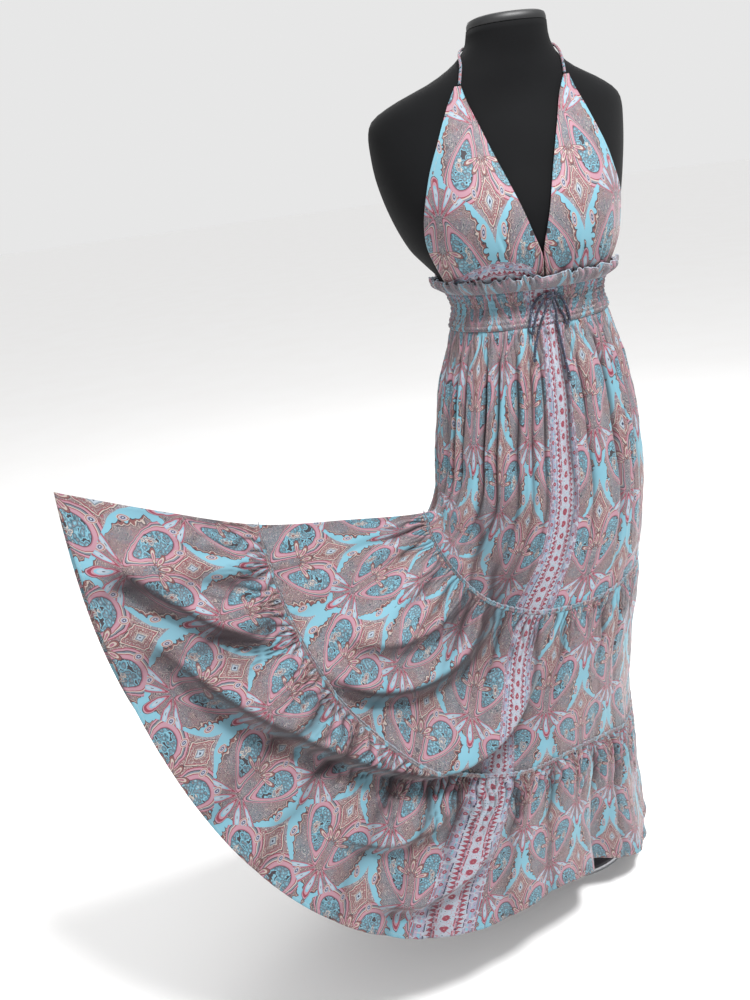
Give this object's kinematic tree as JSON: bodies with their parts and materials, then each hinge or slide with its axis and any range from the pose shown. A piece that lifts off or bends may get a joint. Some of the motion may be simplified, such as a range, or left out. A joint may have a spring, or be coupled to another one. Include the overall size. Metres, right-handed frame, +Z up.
{
  "type": "maxi dress on dress form",
  "caption": "Halter maxi dress with gathered cups, smocked tie waist and three gathered printed tiers, its hem held out to one side, on a limbless dress form and round stand",
  "frame": {"origin": "on the floor under the middle of the dress form, in the plane of the base's underside", "axes": "+Z up, the form faces -Y, the wearer's right and the held-out hem are at -X"},
  "size_m": [0.9155, 0.5304, 1.476],
  "materials": {
    "printed_cloth": "matte, thin printed crepe",
    "dark_cord": "matte braided cord",
    "form_cover": "matte jersey cover",
    "neck_cap": "matte",
    "steel": "satin"
  },
  "bodies": {
    "root": {"drawstring_end_knot_left": "dark_cord", "drawstring_end_knot_right": "dark_cord", "drawstring_end_left": "dark_cord", "drawstring_end_right": "dark_cord", "drawstring_knot": "dark_cord", "drawstring_loop_left": "dark_cord", "drawstring_loop_right": "dark_cord", "dress_form_torso": "form_cover", "halter_strap": "printed_cloth", "left_cup": "printed_cloth", "neck_cap": "neck_cap", "right_cup": "printed_cloth", "ruffle_back": "printed_cloth", "ruffle_front": "printed_cloth", "stand_base": "steel", "stand_pole": "steel", "tier1_back": "printed_cloth", "tier1_front": "printed_cloth", "tier2_back": "printed_cloth", "tier2_front": "printed_cloth", "tier3_back": "printed_cloth", "tier3_front": "printed_cloth", "waistband_back": "printed_cloth", "waistband_front": "printed_cloth"}
  },
  "joints": []
}
